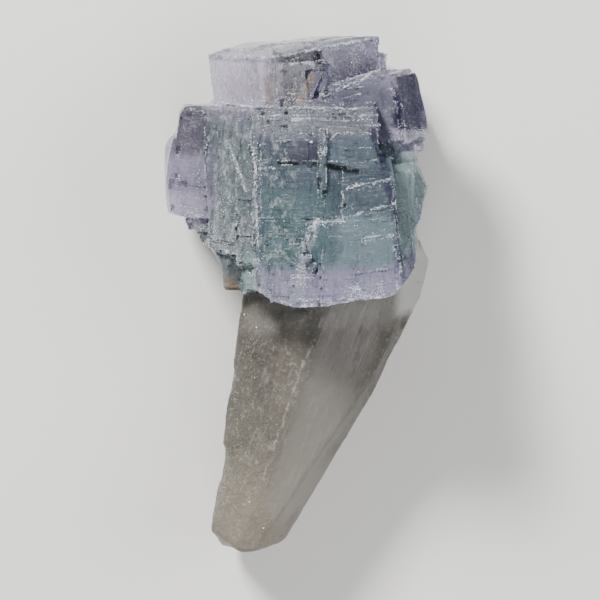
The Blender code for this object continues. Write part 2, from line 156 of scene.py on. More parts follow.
class Shader:
    """A procedural material on a Principled shader, with its point in millimetres."""

    def __init__(self, name):
        self.material = bpy.data.materials.new(name)
        self.material.use_nodes = True
        self.tree = self.material.node_tree
        self.principled = self.tree.nodes["Principled BSDF"]
        self.output = self.tree.nodes["Material Output"]
        place = self.node("ShaderNodeTexCoord", output="Object")
        self.point = self.scaled(place, 1 / MM)

    def node(self, kind, settings=None, sockets=None, output=0):
        made = self.tree.nodes.new(kind)
        for name, setting in (settings or {}).items():
            setattr(made, name, setting)
        self.feed(made, sockets or {})
        return Socket(self, made.outputs[output])

    def feed(self, node, sockets):
        for name, value in sockets.items():
            if isinstance(value, Socket):
                self.tree.links.new(value.socket, node.inputs[name])
            else:
                node.inputs[name].default_value = value

    def vector(self, operation, *operands):
        settings = {"operation": operation}
        return self.node("ShaderNodeVectorMath", settings, dict(enumerate(operands)))

    def scaled(self, vector, factor):
        return self.node("ShaderNodeVectorMath", {"operation": "SCALE"}, {0: vector, "Scale": factor})

    def turned(self, vector, degrees):
        """The vector in a frame turned about X, Y and Z."""
        rotation = [math.radians(-angle) for angle in degrees]
        sockets = {"Vector": vector, "Rotation": rotation}
        return self.node("ShaderNodeMapping", {"vector_type": "POINT"}, sockets)

    def parts(self, vector):
        made = self.tree.nodes.new("ShaderNodeSeparateXYZ")
        self.feed(made, {0: vector})
        return [Socket(self, output) for output in made.outputs]

    def joined(self, x, y, z):
        return self.node("ShaderNodeCombineXYZ", sockets={0: x, 1: y, 2: z})

    def mix(self, low, high, share):
        settings = {"data_type": "RGBA"}
        return self.node("ShaderNodeMix", settings, {0: share, 6: low, 7: high}, output=2)

    def noise(self, vector, scale, detail=3.0, roughness=0.55):
        sockets = {"Vector": vector, "Scale": scale, "Detail": detail, "Roughness": roughness}
        return self.node("ShaderNodeTexNoise", sockets=sockets)

    def chance(self, vector):
        """A random number, 0 to 1, for each different vector."""
        return self.node("ShaderNodeTexWhiteNoise", {"noise_dimensions": "3D"}, {"Vector": vector})

    def cracks(self, tone, width):
        """1 on the thin lines where a noise passes its middle, and 0 away from them."""
        off = tone - 0.5
        return off.math("ABSOLUTE", off).smooth(0.0, width, 1.0, 0.0)

    def soft_box(self, vector, low, high, edge):
        """1 inside the box from low to high, falling to 0 over the edge's width outside it."""
        middle = [(a + b) / 2 for a, b in zip(low, high)]
        half = [(b - a) / 2 for a, b in zip(low, high)]
        off = self.vector("ABSOLUTE", self.vector("SUBTRACT", vector, middle))
        x, y, z = self.parts(self.vector("SUBTRACT", off, half))
        return x.at_least(y).at_least(z).smooth(0.0, edge, 1.0, 0.0)

    def soft_line(self, x, y, start, end, half):
        """1 on the line from start to end, falling to 0 over half a width on each side."""
        across, up = end[0] - start[0], end[1] - start[1]
        off_x, off_y = x - start[0], y - start[1]
        share = ((off_x * across + off_y * up) / (across * across + up * up)).clamped()
        gap_x, gap_y = off_x - share * across, off_y - share * up
        away = (gap_x * gap_x + gap_y * gap_y).root()
        return away.smooth(half * 0.5, half * 1.5, 1.0, 0.0)

    def from_front(self):
        """Where the point shows from the front, across and up, and how far forward it is."""
        off = self.vector("SUBTRACT", self.point, TARGET)
        x, up, forward = self.parts(self.turned(off, (-math.degrees(LEAN), 0.0, 0.0)))
        nearer = CAMERA_DISTANCE / (CAMERA_DISTANCE - forward)
        return x * nearer, up * nearer, forward

    def bump(self, height):
        """A normal from a height in millimetres."""
        return self.node("ShaderNodeBump", sockets={"Height": height, "Strength": 1.0, "Distance": MM})

    def absorb(self, colour, density):
        """Plain absorption inside the crystal, per metre."""
        volume = self.tree.nodes.new("ShaderNodeVolumeAbsorption")
        self.feed(volume, {"Color": colour, "Density": density})
        self.tree.links.new(volume.outputs[0], self.output.inputs["Volume"])

    def finish(self, **sockets):
        """Sets the shader's own inputs, named with _ for each space."""
        named = {name.replace("_", " "): value for name, value in sockets.items()}
        self.feed(self.principled, named)
        return self.material


# The fluorite's surface is cut into triangles with sides up to this long. It waves by a height for each
# size of noise, and its edges show where they bend more than an angle in degrees.
FLUORITE_SIDE = 0.7
FLUORITE_WAVES = ((5.0, 0.30), (1.6, 0.10))
FLUORITE_SHARP = 22
FLAT_ANGLE = 0.002

# Within the knee of the box's sides the surface eases off, and comes nearer by the room at most.
SIDE_KNEE = 0.5
SIDE_ROOM = 0.35

# The quartz's even mesh, how often it is smoothed, its waves, and its sharp edges' angle in degrees.
QUARTZ_SIDE = 0.17
QUARTZ_WEAR = 44
QUARTZ_WAVES = ((4.0, 0.10), (1.1, 0.06), (0.45, 0.04))
QUARTZ_SHARP = 40

# The cluster's outline as seen from the front, which trims what stands out past it.
OUTLINE = (
    (-9.6, 25.8), (-7.1, 26.8), (-4.0, 27.5), (0.0, 27.9), (2.6, 28.1), (5.2, 28.0), (8.2, 27.8),
    (8.3, 25.8), (9.1, 25.7), (9.2, 24.7), (10.6, 24.6), (11.9, 24.1), (12.3, 23.5), (12.7, 21.5),
    (13.1, 19.7), (13.5, 17.6), (13.4, 17.2), (13.0, 16.9), (12.9, 15.8), (12.0, 15.3), (12.6, 13.3),
    (13.4, 11.8), (13.0, 10.7), (12.6, 8.7), (12.2, 7.9), (12.4, 5.9), (12.3, 4.0), (11.5, 2.6),
    (10.5, 1.3), (9.3, 0.3), (6.0, 0.0), (3.4, -0.5), (2.3, -0.9), (-0.8, -0.7), (-2.9, 0.0),
    (-4.8, 1.1), (-5.7, -0.6), (-6.3, -0.3), (-7.6, 0.5), (-8.0, 1.6), (-8.2, 4.0), (-9.2, 5.4),
    (-10.0, 6.0), (-10.9, 7.3), (-11.8, 7.6), (-12.2, 8.7), (-13.8, 9.3), (-14.1, 11.3), (-14.3, 13.8),
    (-14.1, 15.8), (-13.7, 16.8), (-13.0, 17.5), (-12.7, 19.5), (-12.2, 20.3), (-9.3, 20.6), (-9.8, 23.1),
)
# How far forward of the middle the trimming starts, and where it ends.
OUTLINE_REACH = (16.0, -14.0)

# Small crystals that fill the clefts between the large ones: centre, size, roll and yaw in degrees.
INGROWN = {
    "shoulder facet": ((10.75, 20.4, 13.6), (4.0, 6.4, 3.0), 10, 42),
    "tan seam": ((0.75, 22.1, 13.7), (1.1, 3.8, 2.2), -22, 18),
    "right cleft": ((1.9, 22.9, 13.2), (2.0, 1.8, 2.0), 8, -20),
    "left cleft": ((-0.7, 20.9, 15.3), (1.7, 1.9, 2.6), -8, 12),
}

# Thin layers stay this far off the outline, on what is higher than this depth.
RIM_WIDTH = 0.45
RIM_DEPTH = 6.0

# Calm, glassy faces as seen from the front, where few thin layers lie: left, right, low and high.
CALM_LAYERS = 0.10
CALM_FACES = (
    (-9.6, -2.4, 20.8, 25.6),
    (-14.4, -9.2, 8.6, 20.2),
    (4.4, 9.8, 2.8, 8.6),
    (6.0, 13.0, 17.4, 23.8),
    (-2.6, 2.0, 14.4, 16.6),
    (-9.6, 8.4, 25.6, 28.2),
)

# Sugary growth as seen from the front: a line's start and end across and up, its half width and how thick
# the small crystals lie on it.
SUGAR_LINES = (
    ((-4.4, 19.6), (7.4, 19.4), 0.6, 0.7),
    ((-4.4, 18.2), (2.0, 17.6), 0.6, 0.5),
    ((-9.0, 20.5), (7.2, 20.2), 0.35, 1.0),
    ((2.2, 21.6), (9.2, 24.6), 0.35, 0.8),
    ((1.4, 8.1), (4.6, 8.5), 0.30, 3.0),
    ((1.4, 8.0), (0.2, 4.6), 0.55, 2.4),
    ((0.2, 4.6), (-0.3, 0.0), 0.55, 2.2),
    ((-1.3, 21.2), (-0.2, 20.6), 0.5, 2.0),
    ((-4.9, 17.0), (-4.6, 3.0), 0.40, 0.7),
    ((-7.6, 16.8), (-5.6, 11.5), 0.35, 0.7),
    ((-4.8, 1.5), (-3.0, 0.2), 0.40, 1.5),
    ((-3.0, 0.2), (-0.8, -0.7), 0.45, 1.6),
    ((-0.8, -0.5), (2.9, -0.6), 0.60, 3.6),
    ((2.9, -0.6), (9.4, 0.5), 0.35, 1.6),
    ((5.4, 0.9), (8.0, 1.2), 0.70, 3.0),
    ((-10.6, 13.2), (-10.3, 11.0), 0.35, 1.2),
    ((-11.8, 9.4), (-10.8, 8.8), 0.45, 2.0),
    ((-10.9, 8.9), (-9.0, 6.2), 0.50, 1.3),
    ((-9.0, 6.2), (-6.0, 4.0), 0.50, 1.3),
    ((10.2, 16.4), (12.9, 16.9), 1.10, 1.2),
    ((2.2, 16.8), (2.2, 15.0), 0.25, 1.0),
    ((2.2, 13.6), (2.2, 11.0), 0.25, 0.4),
    ((4.7, 11.8), (9.4, 12.6), 0.15, 1.6),
    ((4.9, 8.8), (10.1, 10.1), 0.15, 1.2),
    ((6.8, 6.5), (10.0, 6.7), 0.15, 0.8),
    ((-7.9, 11.0), (-6.2, 6.0), 1.10, 0.45),
)

# Bright ledge lines across the fluorite as seen from the front: start and end.
LEDGE_LINES = (
    ((2.2, 21.5), (6.8, 23.4)),
    ((6.8, 23.4), (9.2, 24.6)),
    ((2.2, 21.2), (6.6, 22.8)),
    ((-2.7, 16.7), (1.4, 16.7)),
    ((2.9, 16.6), (3.8, 17.5)),
    ((3.8, 17.5), (7.6, 17.6)),
    ((4.7, 11.7), (9.4, 12.6)),
    ((4.9, 8.8), (10.1, 10.1)),
    ((6.8, 6.5), (10.0, 6.7)),
    ((1.6, 8.1), (4.5, 8.5)),
    ((4.5, 8.5), (4.5, 11.5)),
    ((2.5, 17.4), (2.5, 15.4)),
    ((1.6, 8.1), (0.4, 5.6)),
    ((-4.8, 16.0), (-4.5, 6.5)),
    ((-4.8, 1.5), (-3.0, 0.0)),
    ((-3.0, 0.1), (-0.8, -0.6)),
    ((-0.8, -0.5), (2.3, -0.8)),
    ((-0.7, 0.1), (3.4, -0.3)),
    ((3.4, -0.3), (9.3, 0.4)),
    ((5.4, 0.9), (8.0, 1.3)),
    ((-1.0, 24.8), (1.3, 24.9)),
    ((-9.6, 25.7), (-3.3, 25.4)),
    ((-3.3, 25.4), (2.0, 26.4)),
    ((2.0, 26.4), (8.0, 27.5)),
    ((-9.2, 20.6), (-4.2, 20.2)),
    ((-4.2, 20.2), (7.3, 20.1)),
    ((-12.3, 20.0), (-9.4, 19.8)),
    ((-7.7, 16.8), (-5.6, 11.5)),
    ((-4.4, 13.9), (-2.4, 13.8)),
    ((-10.9, 8.9), (-9.0, 6.2)),
    ((-9.0, 6.2), (-6.0, 3.6)),
    ((-6.0, 3.6), (-5.0, 2.6)),
)
# A drawn line's step, its tremble and how fine that is, the size of its patches, the least noise that
# keeps it, and how many steps may lie between two points that join.
DRAWN_STEP = 0.15
DRAWN_TREMBLE = 0.22
DRAWN_FINENESS = 1.3
DRAWN_PATCH = 0.8
DRAWN_LEAST = -0.25
DRAWN_GAP = 3

# Crumbs lie along edges that bend more than this angle in degrees, in patches of this size.
RIM_ANGLE = 40
RIM_PATCH = 0.7
RIM_LEAST = 0.16

# Frosted and chipped places on the quartz as seen from the front: a line's start and end across and up,
# its half width and how thick the chips lie on it. Between the patches this share of them is left.
QUARTZ_FROST = (
    ((-4.8, -2.0), (-6.6, -12.0), 1.3, 1.6),
    ((-6.6, -12.0), (-7.6, -24.0), 1.2, 1.4),
    ((-3.4, -9.0), (-4.6, -16.0), 0.9, 0.9),
    ((-0.1, -8.0), (-4.0, -19.0), 0.5, 0.8),
    ((9.0, -7.5), (6.2, -12.5), 0.35, 2.0),
    ((11.6, -1.6), (9.4, -6.4), 0.4, 1.4),
    ((13.0, 2.0), (12.0, -1.4), 0.5, 1.4),
    ((-8.4, -19.5), (-6.0, -26.6), 0.6, 1.6),
    ((-5.4, -20.0), (-3.0, -25.0), 0.9, 0.6),
)
FROST_PATCH = 1.1
FROST_BETWEEN = 0.15
STEM_TURN = -20.5

# How far back a zone or a line reaches: all through the cluster, through its front half, to the steps of
# its front, or on the front faces only. Nothing is nearer than the nearest.
THROUGH = -30
FRONT_HALF = 0
FRONT_STEPS = 5
FRONT_FACES = 7
NEAREST = 30

# The growth lines splay towards the foot from this height, and bow.
SPLAY = 0.0131
SPLAY_FROM = 10.0
BOW = 0.0066

# Colour zones of the fluorite as seen from the front, in millimetres across and up from the middle: left
# and right, low and high, how far back, soft edge, colour and strength. A later zone lies over an earlier.
LAVENDER = linear(166, 158, 182)
FLUORITE_ZONES = {
    "core": ((-7.0, 9.0), (2.0, 15.0), THROUGH, 4.0, linear(108, 124, 135), 0.95),
    "deep core": ((-3.0, 2.6), (3.5, 10.5), THROUGH, 2.0, linear(116, 146, 148), 0.8),
    "lower right": ((4.5, 9.5), (3.2, 8.4), THROUGH, 1.2, linear(150, 174, 180), 0.85),
    "foot": ((-5.0, 10.0), (-1.5, 2.2), THROUGH, 2.0, linear(196, 188, 218), 0.9),
    "left block": ((-14.4, -9.4), (7.0, 17.0), THROUGH, 1.5, linear(170, 158, 184), 0.85),
    # The left block darker at its top and paler at its foot: painted shade and painted light over its
    # purple-grey.
    "left block top": ((-12.6, -9.6), (16.0, 19.8), THROUGH, 1.6, linear(96, 90, 102), 0.9),
    "left block foot": ((-13.6, -9.6), (8.2, 10.6), THROUGH, 1.2, linear(206, 198, 220), 0.85),
    # Painted light: the low blocks on the left made paler against the shade on their underside faces.
    "lower left": ((-11.5, -5.6), (0.5, 7.4), THROUGH, 0.9, linear(190, 196, 196), 0.85),
    "left face": ((-9.0, -4.9), (1.0, 19.0), FRONT_HALF, 1.0, linear(146, 156, 160), 0.75),
    # Pale lilac on the top block's left, partly its own tint and partly a painted reflection of the key
    # light.
    "upper left": ((-9.6, -3.0), (20.6, 25.6), THROUGH, 0.9, linear(242, 230, 250), 0.97),
    "upper middle": ((-3.0, 0.8), (20.6, 24.6), THROUGH, 0.9, linear(168, 162, 166), 0.8),
    "upper right": ((2.8, 8.4), (22.0, 27.0), THROUGH, 1.0, linear(150, 146, 170), 0.85),
    "shoulder front": ((2.0, 9.6), (17.6, 22.0), FRONT_HALF, 0.6, linear(136, 134, 152), 0.85),
    "shoulder side": ((10.2, 13.6), (17.4, 23.6), THROUGH, 0.6, linear(66, 60, 96), 0.95),
    "rough patch": ((9.9, 13.2), (15.0, 17.6), THROUGH, 0.5, linear(214, 208, 228), 0.9),
    "right side": ((10.2, 14.4), (5.5, 15.0), THROUGH, 0.8, linear(178, 200, 200), 0.9),
    "window": ((-2.6, 2.0), (14.6, 16.6), FRONT_FACES, 0.2, linear(108, 108, 124), 0.85),
    "second window": ((2.7, 7.8), (14.2, 17.4), FRONT_FACES, 0.25, linear(128, 144, 156), 0.8),
    "frosted band": ((-4.6, 7.4), (17.4, 20.2), FRONT_STEPS, 0.4, linear(168, 172, 178), 0.8),
    "broken patch": ((-2.8, 2.3), (25.0, 26.2), THROUGH, 0.4, linear(56, 54, 62), 0.85),
}

# Seams, rims, inclusions, stains, painted shade and painted highlights on the fluorite as seen from the
# front: start and end, half width, how far back, colour, strength and how finely they are broken up.
COARSE = 0.8
MIDDLE = 1.3
FINE = 2.0
FLUORITE_LINES = {
    "top face": ((-6.4, 26.3), (-1.0, 27.0), 0.8, THROUGH, linear(236, 234, 238), 0.9, COARSE),
    "top face right": ((-2.0, 26.9), (4.4, 28.1), 0.75, THROUGH, linear(226, 224, 230), 0.9, COARSE),
    "sugar path": ((1.5, 8.0), (0.4, 4.6), 0.5, FRONT_FACES, linear(196, 206, 210), 0.8, COARSE),
    "sugar path foot": ((0.4, 4.6), (-0.3, 0.0), 0.5, FRONT_FACES, linear(200, 204, 214), 0.8, COARSE),
    "dark band": ((-2.2, 14.35), (2.2, 14.3), 0.18, FRONT_FACES, linear(24, 28, 22), 0.95, FINE),
    "dark band middle": ((1.6, 14.2), (3.4, 14.0), 0.22, FRONT_FACES, linear(30, 32, 26), 0.9, FINE),
    "dark band end": ((3.2, 14.0), (5.9, 13.55), 0.34, FRONT_FACES, linear(22, 26, 20), 0.95, FINE),
    "tan seam": ((1.2, 23.3), (-0.1, 20.8), 0.32, THROUGH, linear(206, 182, 160), 0.95, MIDDLE),
    "tan stain": ((-3.2, 23.0), (-3.0, 21.0), 0.65, THROUGH, linear(158, 136, 124), 0.65, FINE),
    "upper middle shade": ((-1.4, 24.4), (-1.2, 21.0), 0.45, THROUGH, linear(112, 106, 112), 0.7, COARSE),
    "upper left shade": ((-4.8, 25.2), (-4.2, 21.0), 0.25, THROUGH, linear(150, 140, 144), 0.6, COARSE),
    # Painted shadow: a dark line under the top block's upper rim.
    "rim shade": ((-9.2, 25.35), (-3.3, 25.0), 0.16, THROUGH, linear(150, 142, 166), 0.6, MIDDLE),
    "mint strip": ((-5.4, 4.6), (-5.4, 1.4), 0.55, FRONT_HALF, linear(196, 222, 212), 0.85, COARSE),
    "tan foot": ((-7.2, 2.0), (-7.0, 0.6), 0.75, THROUGH, linear(166, 142, 112), 0.85, COARSE),
    "upper right rim": ((7.6, 17.7), (8.7, 14.7), 0.36, FRONT_FACES, linear(62, 58, 86), 0.85, MIDDLE),
    "right rim": ((8.7, 14.7), (10.0, 8.4), 0.40, FRONT_FACES, linear(72, 66, 100), 0.85, MIDDLE),
    "lower right rim": ((10.0, 8.4), (10.2, 1.2), 0.26, FRONT_FACES, linear(106, 100, 144), 0.8, COARSE),
    "shoulder rim": ((11.4, 22.8), (12.7, 18.6), 0.75, THROUGH, linear(60, 54, 88), 0.85, COARSE),
    "shoulder spot": ((9.9, 20.8), (10.2, 18.7), 0.40, THROUGH, linear(52, 48, 80), 0.85, MIDDLE),
    "lower seam": ((5.6, 2.6), (10.2, 3.3), 0.10, FRONT_FACES, linear(92, 90, 126), 0.8, COARSE),
    "foot seam": ((0.5, 0.35), (3.7, 0.4), 0.12, FRONT_FACES, linear(118, 98, 158), 0.7, COARSE),
    "pale crack": ((-7.6, 16.8), (-5.6, 11.5), 0.14, FRONT_HALF, linear(214, 218, 208), 0.9, FINE),
    "pale ridge": ((2.2, 16.6), (2.2, 11.2), 0.26, FRONT_FACES, linear(142, 158, 152), 0.6, MIDDLE),
    # Painted highlights: bright lines along the step and along the top block's upper rim.
    "pale step": ((-1.0, 24.8), (1.3, 24.8), 0.16, THROUGH, linear(232, 232, 232), 0.95, FINE),
    "upper rim": ((-9.4, 25.7), (-3.3, 25.4), 0.13, THROUGH, linear(232, 228, 234), 0.85, FINE),
    "upper rim right": ((-3.3, 25.4), (8.0, 27.6), 0.13, THROUGH, linear(228, 226, 232), 0.85, FINE),
}


def stepped_height(shader, across, up, z):
    """Growth steps: flat patches with square edges, in ever smaller sizes."""
    height = 0.0
    for cell, aspect, lift in ((2.6, 1.7, 0.06), (1.1, 0.5, 0.04), (0.45, 1.6, 0.022)):
        row = (up / (cell * aspect)).snapped(1.0)
        slide = shader.chance(shader.joined(row, cell, 0.5)) * cell
        patch = shader.joined(((across + slide) / cell).snapped(1.0), row, (z / cell).snapped(1.0))
        height = shader.chance(patch) * lift + height
    return height


def zone_colours(shader, seen):
    """The cluster's colour zones over its lavender."""
    colour = LAVENDER
    for (left, right), (low, high), back, edge, tint, strength in FLUORITE_ZONES.values():
        inside = shader.soft_box(seen, (left, low, back), (right, high, NEAREST), edge)
        colour = shader.mix(colour, tint, inside * strength)
    return colour


def line_colours(shader, colour, grown, seen):
    """The colour with its seams, rims, inclusions, stains, painted shade and painted highlights, ragged and
    broken up.
    """
    seen_x, seen_up, forward = seen
    ragged = shader.noise(shader.point, 2.6, 4.0, 0.7)
    rag_x, rag_up = seen_x + (ragged * 0.9 - 0.45), seen_up - (ragged * 0.7 - 0.35)
    broken = {}
    for size in (COARSE, MIDDLE, FINE):
        broken[size] = shader.noise(grown, size, 4.0, 0.7).smooth(0.34, 0.54)
    for start, end, half, back, tint, strength, size in FLUORITE_LINES.values():
        inside = shader.soft_line(rag_x, rag_up, start, end, half) * forward.smooth(back - 1.0, back)
        colour = shader.mix(colour, tint, inside * broken[size] * strength)
    return colour


def fluorite_material(name):
    """Glassy fluorite without its absorption, which only the main piece has."""
    shader = Shader(name)
    x, y, z = shader.parts(shader.point)

    across = x / (1 - SPLAY * (y - SPLAY_FROM))
    up = y - BOW * x * x
    grown = shader.joined(across, up, z)
    upright = shader.joined(across * 3.2, up * 0.45, z * 3.2)
    level = shader.joined(across * 0.5, up * 4.0, z * 1.5)
    grain = shader.noise(grown, 9.0, 2.0, 0.6) * 0.014
    waves = shader.noise(grown, 0.8, 2.0, 0.5) * 0.12
    lines = shader.noise(upright, 1.6, 3.0, 0.6) * 0.03
    normal = shader.bump(stepped_height(shader, across, up, z) + grain + waves + lines)

    seen_x, seen_up, forward = shader.from_front()
    wobble = shader.noise(shader.point, 0.5, 3.0, 0.6)
    seen = shader.joined(seen_x + (wobble * 1.4 - 0.7), seen_up - (wobble * 1.3 - 0.65), forward)
    colour = zone_colours(shader, seen)

    # Darker and paler streaks along the crystals, and pale veils.
    streaks = shader.noise(upright, 1.0, 4.0, 0.65)
    bands = shader.noise(level, 0.9, 4.0, 0.65)
    colour = shader.mix(colour, linear(70, 72, 92), streaks.smooth(0.52, 0.75) * 0.45)
    colour = shader.mix(colour, linear(214, 214, 224), bands.smooth(0.56, 0.74) * 0.40)
    flecks = shader.noise(grown, 2.4, 5.0, 0.7).smooth(0.56, 0.68)
    colour = shader.mix(colour, linear(212, 212, 220), flecks * 0.35)
    # Pale flakes on the left of the cluster, partly the crystal's own and partly painted highlights.
    flake_highlights = shader.noise(shader.joined(across * 1.5, up * 0.7, z), 1.1, 5.0, 0.75).smooth(0.53, 0.60)
    flaky = shader.soft_box(seen, (-9.6, 0.5, THROUGH), (-1.4, 19.0, NEAREST), 1.5)
    colour = shader.mix(colour, linear(220, 226, 226), flake_highlights * flaky * 0.75)
    # Painted shade: darker teal in troughs between the flakes.
    troughs = shader.noise(shader.joined(across * 1.8, up * 0.35, z), 1.0, 4.0, 0.65)
    painted_trough_shade = troughs.smooth(0.48, 0.40) * flaky * (1.0 - flake_highlights)
    colour = shader.mix(colour, linear(78, 100, 104), painted_trough_shade * 0.6)

    # Fine cracks and growth lines in patches: dark cracks along the crystals, and bright lines across them
    # painted as glints.
    patches = shader.noise(grown, 0.45, 2.0, 0.5)
    upright_cracks = shader.cracks(shader.noise(upright, 0.55, 3.0, 0.6), 0.022)
    painted_glint_lines = shader.cracks(shader.noise(level, 0.5, 3.0, 0.6), 0.02)
    dark, bright = patches.smooth(0.46, 0.58), patches.smooth(0.54, 0.42)
    colour = shader.mix(colour, linear(66, 68, 90), upright_cracks * dark * 0.6)
    colour = shader.mix(colour, linear(226, 228, 234), painted_glint_lines * bright * 0.6)
    colour = line_colours(shader, colour, grown, (seen_x, seen_up, forward))
    roughness = flecks * 0.25 + bands.smooth(0.4, 0.7) * 0.10 + 0.06
    shader.finish(
        Base_Color=colour, Roughness=roughness, Normal=normal, IOR=FLUORITE_IOR, Transmission_Weight=0.72
    )
    return shader


def quartz_material():
    """Milky quartz, with streaks along the stem, frost on its left face, painted light where the cluster
    shades its top, and a ragged bright ridge painted as a highlight.
    """
    shader = Shader("quartz")
    along = shader.turned(shader.point, (0.0, 0.0, STEM_TURN))
    a, b, c = shader.parts(along)
    streaks = shader.noise(shader.joined(a * 2.6, b * 0.16, c * 2.6), 1.0, 4.0, 0.6)
    milk = shader.noise(shader.point, 0.12, 3.0, 0.55)
    colour = shader.mix(linear(64, 58, 47), linear(90, 84, 72), milk.smooth(0.35, 0.65))
    seen_x, seen_up, forward = shader.from_front()
    seen = shader.joined(seen_x, seen_up, forward)
    colour = shader.mix(colour, linear(134, 124, 108), seen_up.smooth(-12.0, -22.0) * 0.8)
    dark = shader.soft_line(seen_x, seen_up, (-0.4, -2.0), (-2.2, -13.0), 1.8)
    colour = shader.mix(colour, linear(92, 84, 72), dark * 0.7)
    face = shader.soft_line(seen_x, seen_up, (6.2, -1.0), (-0.6, -21.0), 2.9)
    colour = shader.mix(colour, linear(134, 129, 123), face * 0.6)
    # Painted light: a paler band near the top, against the shadow that the cluster casts on the quartz.
    painted_light_under_cluster = shader.soft_line(seen_x, seen_up, (-4.0, -1.8), (9.0, -1.2), 1.6)
    colour = shader.mix(colour, linear(146, 142, 134), painted_light_under_cluster * 0.45)
    # Painted highlight: a ragged bright line along the ridge between the stem's faces.
    ragged = shader.noise(shader.point, 1.4, 4.0, 0.7)
    rag_x = seen_x + (ragged * 1.6 - 0.8)
    ridge = shader.soft_line(rag_x, seen_up, (2.5, -1.5), (-0.1, -7.9), 0.16)
    lower_ridge = shader.soft_line(rag_x, seen_up, (-0.1, -7.9), (-4.0, -18.9), 0.14)
    broken = shader.noise(shader.point, 0.8, 3.0, 0.6).smooth(0.42, 0.56)
    colour = shader.mix(colour, linear(180, 174, 162), ridge.at_least(lower_ridge) * broken * 0.5)
    shard = shader.soft_box(seen, (11.0, -0.6, THROUGH), (14.4, 5.0, NEAREST), 1.6)
    colour = shader.mix(colour, linear(206, 206, 202), shard * 0.8)
    colour = shader.mix(colour, linear(186, 182, 172), streaks.smooth(0.55, 0.75) * 0.25)
    grain = shader.noise(shader.point, 6.0, 4.0, 0.7)
    colour = shader.mix(colour, linear(80, 74, 66), grain.smooth(0.6, 0.75) * 0.25)
    frost = shader.noise(shader.point, 2.2, 5.0, 0.75)
    colour = shader.mix(colour, linear(176, 172, 160), frost.smooth(0.55, 0.63) * (1.0 - face) * 0.4)
    normal = shader.bump(grain * 0.06 + streaks * 0.12 + frost * (0.05 + 0.16 * (1.0 - face)))
    shader.absorb(linear(205, 200, 190), 60.0)
    return shader.finish(
        Base_Color=colour, Roughness=0.36, Normal=normal, IOR=QUARTZ_IOR, Transmission_Weight=0.4
    )


def crumb_material(name, darker, paler, ior):
    """Small bright crystals or chips, between two tones."""
    shader = Shader(name)
    tone = shader.noise(shader.point, 0.9, 3.0, 0.6)
    colour = shader.mix(darker, paler, tone.smooth(0.4, 0.6))
    return shader.finish(Base_Color=colour, Roughness=0.28, IOR=ior, Transmission_Weight=0.45)


def floor_material():
    shader = Shader("floor")
    tone = shader.noise(shader.point, 0.02, 2.0, 0.5)
    colour = shader.mix(linear(206, 204, 200), linear(212, 210, 206), tone)
    return shader.finish(Base_Color=colour, Roughness=0.85)


def make_floor():
    bpy.ops.mesh.primitive_plane_add(size=FLOOR_SIZE, location=(0.0, 0.0, -FLOOR_GAP))
    floor = bpy.context.object
    floor.name = "floor"
    floor.data.materials.append(floor_material())


def make_camera():
    data = bpy.data.cameras.new("camera")
    data.lens = CAMERA_LENS
    data.clip_start = 0.01
    camera = bpy.data.objects.new("camera", data)
    bpy.context.scene.collection.objects.link(camera)
    place = Matrix((RIGHT, UP, BACK)).transposed().to_4x4()
    place.translation = EYE * MM
    camera.matrix_world = place
    bpy.context.scene.camera = camera


def make_light(name, place, size, power):
    data = bpy.data.lights.new(name, "AREA")
    data.shape = "RECTANGLE"
    data.size, data.size_y = size
    data.energy = power
    light = bpy.data.objects.new(name, data)
    light.location = place
    aim = TARGET * MM - Vector(place)
    light.rotation_euler = aim.to_track_quat("-Z", "Y").to_euler()
    bpy.context.scene.collection.objects.link(light)


def make_lights():
    for name, (place, size, power) in LIGHTS.items():
        make_light(name, place, size, power)
    world = bpy.data.worlds.new("studio")
    world.use_nodes = True
    background = world.node_tree.nodes["Background"]
    background.inputs["Color"].default_value = SKY
    background.inputs["Strength"].default_value = SKY_STRENGTH
    bpy.context.scene.world = world


def ray_to(x, up):
    """The way from the camera to the place that shows at x and up from the middle, in millimetres."""
    return TARGET + RIGHT * x + UP * up - EYE


def from_front(mesh):
    """Where each vertex shows from the front, across and up from the middle, in millimetres."""
    places = np.empty(len(mesh.vertices) * 3)
    mesh.vertices.foreach_get("co", places)
    off = places.reshape(-1, 3) / MM - np.array(TARGET)
    nearer = CAMERA_DISTANCE / (CAMERA_DISTANCE - off @ np.array(BACK))
    return np.stack((off @ np.array(RIGHT), off @ np.array(UP)), axis=1) * nearer[:, None]


def distances(points, start, end):
    """How far each point is from the line between start and end."""
    start, end = np.array(start), np.array(end)
    along = end - start
    share = np.clip((points - start) @ along / (along @ along), 0.0, 1.0)
    return np.linalg.norm(points - start - share[:, None] * along, axis=1)


def thickness(points, rows):
    """How thick small crystals lie at each point, from lines with a half width and a thickness."""
    thick = np.zeros(len(points))
    for start, end, half, most in rows:
        near = np.clip(1.5 - distances(points, start, end) / half, 0.0, 1.0)
        thick = np.maximum(thick, most * near)
    return thick


def store(mesh, name, values):
    """Gives each vertex its value under this name."""
    mesh.attributes.new(name, "FLOAT", "POINT").data.foreach_set("value", values)


def waves(point, rows):
    """A gentle unevenness at a point in metres, from noise of each size and height in millimetres."""
    move = Vector()
    for size, height in rows:
        move += noise.noise_vector(point / (size * MM)) * height * MM
    return move


def split_long_edges(bm, longest):
    """Halves edges until none is longer than this, so that the faces can bend."""
    bmesh.ops.triangulate(bm, faces=bm.faces[:])
    for _ in range(SPLIT_ROUNDS):
        long = [edge for edge in bm.edges if edge.calc_length() > longest]
        if not long:
            return
        bmesh.ops.subdivide_edges(bm, edges=long, cuts=1)
        bmesh.ops.triangulate(bm, faces=[face for face in bm.faces if len(face.verts) > 3])


def keep_inside(mesh, corners):
    """Moves what stands out of the box back to its sides."""
    low, high = corners
    for vertex in mesh.vertices:
        vertex.co = [max(low[i], min(high[i], vertex.co[i])) for i in range(3)]


